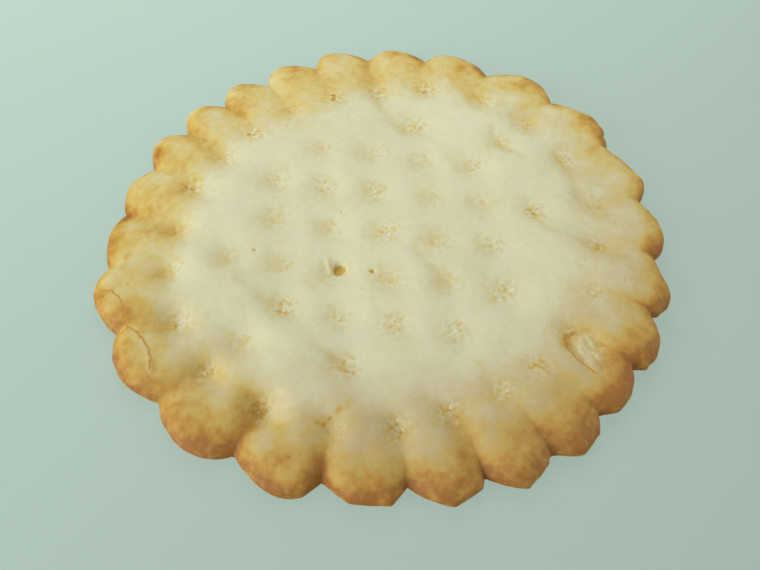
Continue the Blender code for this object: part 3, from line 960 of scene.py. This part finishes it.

# %% [markdown]
# ## Stains
#
# Here and there the crust is browner or paler than its place would make it: in the pocket of the torn
# blister, in streaks across the rim, and in a few scorched spots. The blister's two stains lie on its walls
# nearer the key lamp, where shade falls, and are partly painted shade. A stain is a bell round a path, and
# its strength is added to the browning. A painted map could hold them, but the paths are shorter and
# sharper.

# %% Stains
# stains: strength, and radius and bends in mm; first the blister's pocket and wall, partly painted shade,
# then streaks, then spots
STAINS = (
    (0.45, 0.6, ((2.7, -24.5), (3.8, -24.2), (4.6, -24.5), (5.4, -25.0))),
    (0.25, 0.45, ((2.7, -25.2), (2.5, -26.7), (2.5, -28.2))),
    (-0.12, 3.0, ((9.4, -25.8), (15.8, -22.5), (21.1, -17.7))),
    (0.1, 2.2, ((28.0, -10.5), (30.2, -2.0), (29.7, 4.5))),
    (0.13, 4.0, ((16.0, 19.5), (10.0, 23.5), (4.5, 24.5))),
    (0.1, 3.5, ((-11.0, 28.0), (-10.5, 22.0))),
    (0.14, 2.3, ((-14.0, -27.5), (-7.0, -30.2), (2.0, -31.5))),
    (-0.06, 2.5, ((-20.5, -16.0), (-15.5, -20.5), (-9.0, -24.4))),
    (0.15, 1.9, ((-20.5, 23.3), (-17.0, 23.5))),
    (0.12, 2.8, ((9.5, 20.5), (4.0, 19.0))),
    (0.15, 1.0, ((6.6, 23.5), (6.2, 19.5))),
    (0.22, 1.5, ((-18.6, 16.8), (-19.0, 17.4))),
    (0.2, 1.7, ((-25.5, -5.5), (-25.0, -6.2))),
    (0.4, 0.2, ((-21.8, -13.6), (-21.7, -13.6))),
    (0.45, 0.2, ((-21.4, -14.1), (-21.3, -14.1))),
    (0.5, 0.18, ((-20.7, -14.0), (-20.5, -14.1))),
    (0.6, 0.18, ((-19.5, -14.1), (-19.3, -14.3))),
    (0.3, 0.16, ((-18.8, -14.6), (-18.6, -14.6))),
    (0.12, 1.2, ((-21.8, -13.8), (-18.6, -14.6))),
    (0.2, 0.5, ((-14.2, -25.3), (-14.0, -25.5))),
    (0.15, 0.5, ((-8.6, -28.2), (-8.9, -28.0))),
    (0.15, 0.5, ((-11.4, -29.3), (-11.1, -29.2))),
    (0.15, 0.5, ((-23.5, -19.3), (-23.3, -19.5))),
    (0.2, 0.3, ((-5.5, -20.1), (-5.3, -20.2))),
)
print(len(STAINS), "stains")

# %% [markdown]
# ## Browning and painted shade
#
# Crust browns where it is thin and where the heat reaches it: a narrow brown edge all round, then the lobes,
# and hardly at all the moist middle. This cracker browned unevenly. Its left side is golden as far in as
# the ring pins and its near side has a tan wash. The flanks of the lobes that face away from the key and
# fill lamps are browner and darker, partly browning and partly painted shade, and the flanks facing the
# other way are paler, partly painted light. The dimples and creases are darkened too, partly as painted
# shade. Each cause is one term, the terms are added, and the sum is stored on the points. The material
# turns it into colour.

# %% Browning and painted shade
# waves round the cracker: count, height and crest in degrees; a count of 0 is the mean
WASH = ((0, 0.43, 0.0), (1, 0.145, 117.0), (2, 0.04, 66.0), (3, 0.047, 25.0))
WASH_REACH = 11.3 * MM
EDGE = ((0, 0.59, 0.0), (1, 0.3, -102.0), (2, 0.07, 14.0))
EDGE_REACH = 1.3 * MM
# flank tone, partly browning and partly painted shade and light: flanks that face DARK_FLANK_HEADING, away
# from the lamps, are browner and darker, and the opposite ones paler
FLANK_TONE_AND_SHADE = 0.27                # flanks that face DARK_FLANK_HEADING are browner and the opposite ones paler
FLANK_SHADE_REACH = 3.0 * MM
DARK_FLANK_HEADING = -84.0
# the near side's tan leans to a darker pink: partly its own colour, partly painted shade where the light
# falls off towards the viewer
RUDDY_AND_SHADE = ((0, 0.2, 0.0), (1, 0.8, -114.0))   # the tan of the near side leans to pink
RUDDY_SHADE_REACH = 14.5 * MM
RUDDY_SHADE_START = 1.0 * MM      # the rim itself is plain brown
STREAK = 0.1                # brown streaks along the furrows
STREAK_WIDTH = 0.9 * MM
PLAIN_STREAK = 0.35         # strength where the furrow isn't a strong one
BLOTCH = 0.25               # patches browner or paler than the rest
# dimple tone: partly toasting, partly painted shade on each dimple's wall nearer the key lamp
TOAST_AND_SHADE = 0.2                 # the warm tone in the dimples
TOAST_SHADE_RADIUS = 1.7 * MM
TOAST_SHADE_SHIFT = np.array((-0.5 * MM, 0.35 * MM))


def smooth_step(low, high, value):
    """0 below low, 1 above high, and 3t^2 - 2t^3 between."""
    t = np.clip((value - low) / (high - low), 0.0, 1.0)
    return t * t * (3.0 - 2.0 * t)


def outline_normal(turn):
    """Unit vectors square to the lobed outline, taken from two points a little apart on it."""
    step = 0.002
    ahead = plan_point(turn + step, np.zeros_like(turn))
    run = ahead - plan_point(turn - step, np.zeros_like(turn))
    normal = np.stack((run[:, 1], -run[:, 0]), axis=-1)
    return normal / np.linalg.norm(normal, axis=1, keepdims=True)


def furrow_share(points):
    """1 along the middle of the strong furrows, less along the others, and 0 away from them."""
    share = np.zeros(len(points))
    for number, (notch, pin) in enumerate(zip(NOTCHES, RING_PINS)):
        strength = 1.0 if number in STRONG_FURROWS else PLAIN_STREAK
        share = np.maximum(share, strength * bell(distance_to_run(points, notch, pin)[0], STREAK_WIDTH))
    return share


def ruddy_and_shade_share(points, facts):
    """How far the near side's tan leans to a darker pink, partly its own colour and partly painted shade:
    round the cracker by waves, fading inwards.

    The outermost rim is left out by 1 - exp(-inset / RUDDY_SHADE_START).
    """
    around = np.clip(wave_sum(cutter_parameter(facts["turn"]), RUDDY_AND_SHADE), 0.0, 1.0)
    wander = layered_noise(points, 3.0 * MM, 91)
    inward = 1.0 - smooth_step(0.0, RUDDY_SHADE_REACH, facts["inset"] + 2.0 * MM * wander)
    return around * inward * (1.0 - np.exp(-facts["inset"] / RUDDY_SHADE_START))


def browning_and_shade(points, facts):
    """How browned and shaded each point is, 0 to 1: the sum of all its causes, from the wash to the stains.

    The wash falls off smoothly from the rim inwards and the edge by exp(-inset / reach). Both have waves
    round the cracker. The flank term is partly painted shade and light. The dimples' warm tone is partly
    painted shade, so it lies a little towards the key lamp's side, on the walls that face away from the lamp.
    """
    inset = facts["inset"]
    u = cutter_parameter(facts["turn"])
    plan = points[:, :2] - CENTRE_SHIFT
    wander = layered_noise(points, 5.0 * MM, 71)
    blotch = layered_noise(points, 2.2 * MM, 81)
    near_rim = 1.0 - smooth_step(0.0, WASH_REACH, inset + 1.6 * MM * wander)
    bake_and_shade = near_rim * (wave_sum(u, WASH) + BLOTCH * blotch + STREAK * furrow_share(plan))
    bake_and_shade += wave_sum(u, EDGE) * np.exp(-inset / EDGE_REACH)
    # painted shade and light: flanks facing DARK_FLANK_HEADING get browner and darker, the others paler
    bake_and_shade += FLANK_TONE_AND_SHADE * bell(inset, FLANK_SHADE_REACH) * (outline_normal(facts["turn"]) @ compass(DARK_FLANK_HEADING))
    # the dimples' warm tone, partly toasting and partly painted shade on the wall nearer the key lamp
    for place in ALL_PINS + TOAST_SHADE_SHIFT:
        bake_and_shade += TOAST_AND_SHADE * bell(np.linalg.norm(plan - place, axis=1), TOAST_SHADE_RADIUS)
    # the creases' darker tone, partly painted shade in the grooves
    bake_and_shade += crease_relief(plan)[1]
    for strength, radius, bends in STAINS:
        bake_and_shade += strength * bell(follow_path(plan, bends)[0], radius * MM)
    return np.clip(bake_and_shade, 0.0, 1.0)


def build_cracker(points, faces, facts):
    """The mesh object, smooth shaded, with its facts stored on the points."""
    mesh = bpy.data.meshes.new("cracker_skin")
    mesh.from_pydata(points.tolist(), [], faces)
    mesh.validate()
    for name, values in facts.items():
        layer = mesh.attributes.new(name, "FLOAT", "POINT")
        layer.data.foreach_set("value", values.astype(np.float32))
    mesh.shade_smooth()
    cracker = bpy.data.objects.new("cracker_skin", mesh)
    bpy.context.scene.collection.objects.link(cracker)
    return cracker


facts["bake_and_shade"] = browning_and_shade(points, facts)
facts["ruddy_and_shade"] = ruddy_and_shade_share(points, facts)
cracker = build_cracker(points, faces, facts)
print("browned", round(float(np.mean(facts["bake_and_shade"] > 0.4)) * 100), "% of the points")

# %% [markdown]
# ## Tones and noise of the crust
#
# Baked dough has few tones: a ramp from raw cream through gold and tan to the brown of the rim, and some of
# its own for crumbs, flakes, tears and pores. No part of it is even, so these helpers read noise at several
# sizes, as a swing to either side or as a soft step.

# %% Tones and noise
RAMP = (
    (0.0, (0.72, 0.70, 0.47, 1.0)),
    (0.2, (0.68, 0.61, 0.34, 1.0)),
    (0.4, (0.69, 0.545, 0.195, 1.0)),
    (0.55, (0.66, 0.46, 0.12, 1.0)),
    (0.7, (0.59, 0.35, 0.06, 1.0)),
    (0.85, (0.50, 0.25, 0.04, 1.0)),
    (1.0, (0.36, 0.14, 0.025, 1.0)),
)
RUDDY_SHADE_COLOUR = (0.44, 0.25, 0.07, 1.0)
SCORCH_COLOUR = (0.40, 0.13, 0.012, 1.0)
PALE_COLOUR = (0.74, 0.52, 0.14, 1.0)
HOLE_COLOUR = (0.66, 0.43, 0.10, 1.0)
TEAR_COLOUR = (0.56, 0.28, 0.04, 1.0)
FLAKE_COLOUR = (0.74, 0.69, 0.46, 1.0)
WHITE_CRUMB = (0.82, 0.80, 0.62, 1.0)
# noise in the colour: size, and height of the whole swing
PATCH = (2.0 * MM, 0.3)
DUST = (0.45 * MM, 0.36)
SPECK = (0.28 * MM, 3.2)        # in the crumbs
MOTTLE = (0.8 * MM, 0.42)       # on what is browned
FRECKLES = ((0.3 * MM, 1.4), (0.9 * MM, 2.2))
TEAR_FRAY = (0.3 * MM, 0.5)
HOLE_FRAY = (0.35 * MM, 0.35)


def noise_node(tree, where, size, detail=3.0):
    """A noise texture whose features are about `size` metres across."""
    node = add_node(tree, "ShaderNodeTexNoise", Scale=0.5 / size, Detail=detail, Roughness=0.55)
    tree.links.new(where, node.inputs["Vector"])
    return node.outputs["Fac"]


def step_node(tree, value, low, high):
    """0 below low, 1 above high, and smooth between; it falls instead of rising if low is above high."""
    ends = {"From Min": min(low, high), "From Max": max(low, high)}
    ends["To Min"], ends["To Max"] = (1.0, 0.0) if low > high else (0.0, 1.0)
    node = add_node(tree, "ShaderNodeMapRange", interpolation_type="SMOOTHSTEP", **ends)
    tree.links.new(value, node.inputs["Value"])
    return node.outputs["Result"]


def noise_swing(tree, where, size, height):
    """Noise between about -height / 2 and height / 2."""
    return times(tree, plus(tree, noise_node(tree, where, size), -0.5), height)


def ramp_colour(tree, bake_and_shade):
    """The colour at this place on the ramp from cream to brown."""
    ramp = tree.nodes.new("ShaderNodeValToRGB")
    stops = ramp.color_ramp.elements
    while len(stops) < len(RAMP):
        stops.new(0.5)
    for stop, (place, colour) in zip(stops, RAMP):
        stop.position = place
        stop.color = colour
    tree.links.new(bake_and_shade, ramp.inputs["Fac"])
    return ramp.outputs["Color"]


print("a ramp of", len(RAMP), "tones")

# %% [markdown]
# ## The crust's material
#
# One material carries the whole crust. The stored browning, with the painted shade in it, picks the place
# on the ramp, shifted a little by noise, and the near side's stored tone, partly painted shade, mixes in a
# darker pink. The browned part is then freckled, darker and paler, and crumbs, flakes, tears and pores get
# their own tones. Very fine flour grain is left to a bump, because it is smaller than the grid.

# %% Crust material
def crust_colour(tree, where, share):
    """The crust's colour, and the lines of its tears, from the values stored on the points."""
    patch = noise_swing(tree, where, *PATCH)
    speck = times(tree, noise_swing(tree, where, *SPECK), share["crumb"])
    mottle = times(tree, noise_swing(tree, where, *MOTTLE), share["bake_and_shade"])
    prick = times(tree, step_node(tree, noise_node(tree, where, 0.4 * MM), 0.7, 0.75), 0.35)
    bake_and_shade = plus(tree, share["bake_and_shade"], patch, noise_swing(tree, where, *DUST), speck, prick, mottle)
    under = plus(tree, times(tree, share["under"], 0.55), patch)
    colour = ramp_colour(tree, math_node(tree, "MAXIMUM", bake_and_shade, under))
    # the near side's pinker, darker tan, partly painted shade
    colour = mix_colour(tree, times(tree, share["ruddy_and_shade"], 0.55), colour, RUDDY_SHADE_COLOUR)
    freckle = plus(tree, *(noise_swing(tree, where, *freckles) for freckles in FRECKLES))
    freckle = times(tree, freckle, share["bake_and_shade"], share["bake_and_shade"])
    colour = mix_colour(tree, freckle, colour, SCORCH_COLOUR)
    colour = mix_colour(tree, times(tree, freckle, -0.45), colour, PALE_COLOUR)
    white = step_node(tree, noise_node(tree, where, 0.3 * MM), 0.56, 0.68)
    colour = mix_colour(tree, times(tree, white, share["crumb"], 0.95), colour, WHITE_CRUMB)
    colour = mix_colour(tree, times(tree, share["flake"], 0.5), colour, FLAKE_COLOUR)
    away = math_node(tree, "ABSOLUTE", plus(tree, share["tear"], noise_swing(tree, where, *TEAR_FRAY)), 0.0)
    line = times(tree, step_node(tree, away, 0.16, 0.05), step_node(tree, share["torn"], 0.1, 0.5))
    colour = mix_colour(tree, times(tree, line, 0.95), colour, TEAR_COLOUR)
    hole = step_node(tree, plus(tree, share["hole"], noise_swing(tree, where, *HOLE_FRAY)), -0.06, 0.06)
    return mix_colour(tree, hole, colour, HOLE_COLOUR), line


def crust_material():
    """Dough from cream to brown, with crumbs, tears and a floury bump."""
    material = bpy.data.materials.new("baked crust")
    material.use_nodes = True
    tree = material.node_tree
    shader = tree.nodes["Principled BSDF"]
    where = tree.nodes.new("ShaderNodeTexCoord").outputs["Object"]
    share = {}
    for name in ("bake_and_shade", "ruddy_and_shade", "crumb", "hole", "flake", "tear", "torn", "under"):
        share[name] = add_node(tree, "ShaderNodeAttribute", attribute_name=name).outputs["Fac"]
    colour, line = crust_colour(tree, where, share)
    tree.links.new(colour, shader.inputs["Base Color"])

    flour = plus(tree, noise_node(tree, where, 0.16 * MM), noise_node(tree, where, 0.6 * MM))
    flour = math_node(tree, "SUBTRACT", flour, line)
    bump = add_node(tree, "ShaderNodeBump", Strength=0.25, Distance=0.12 * MM)
    tree.links.new(flour, bump.inputs["Height"])
    tree.links.new(bump.outputs["Normal"], shader.inputs["Normal"])
    shader.inputs["Roughness"].default_value = 0.68
    shader.inputs["Specular IOR Level"].default_value = 0.35
    shader.inputs["Subsurface Weight"].default_value = 0.12
    shader.inputs["Subsurface Radius"].default_value = (1.0, 0.6, 0.3)
    shader.inputs["Subsurface Scale"].default_value = 0.8 * MM
    return material


cracker.data.materials.append(crust_material())
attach(cracker, "root")
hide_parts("cracker")
print("material", cracker.data.materials[0].name)
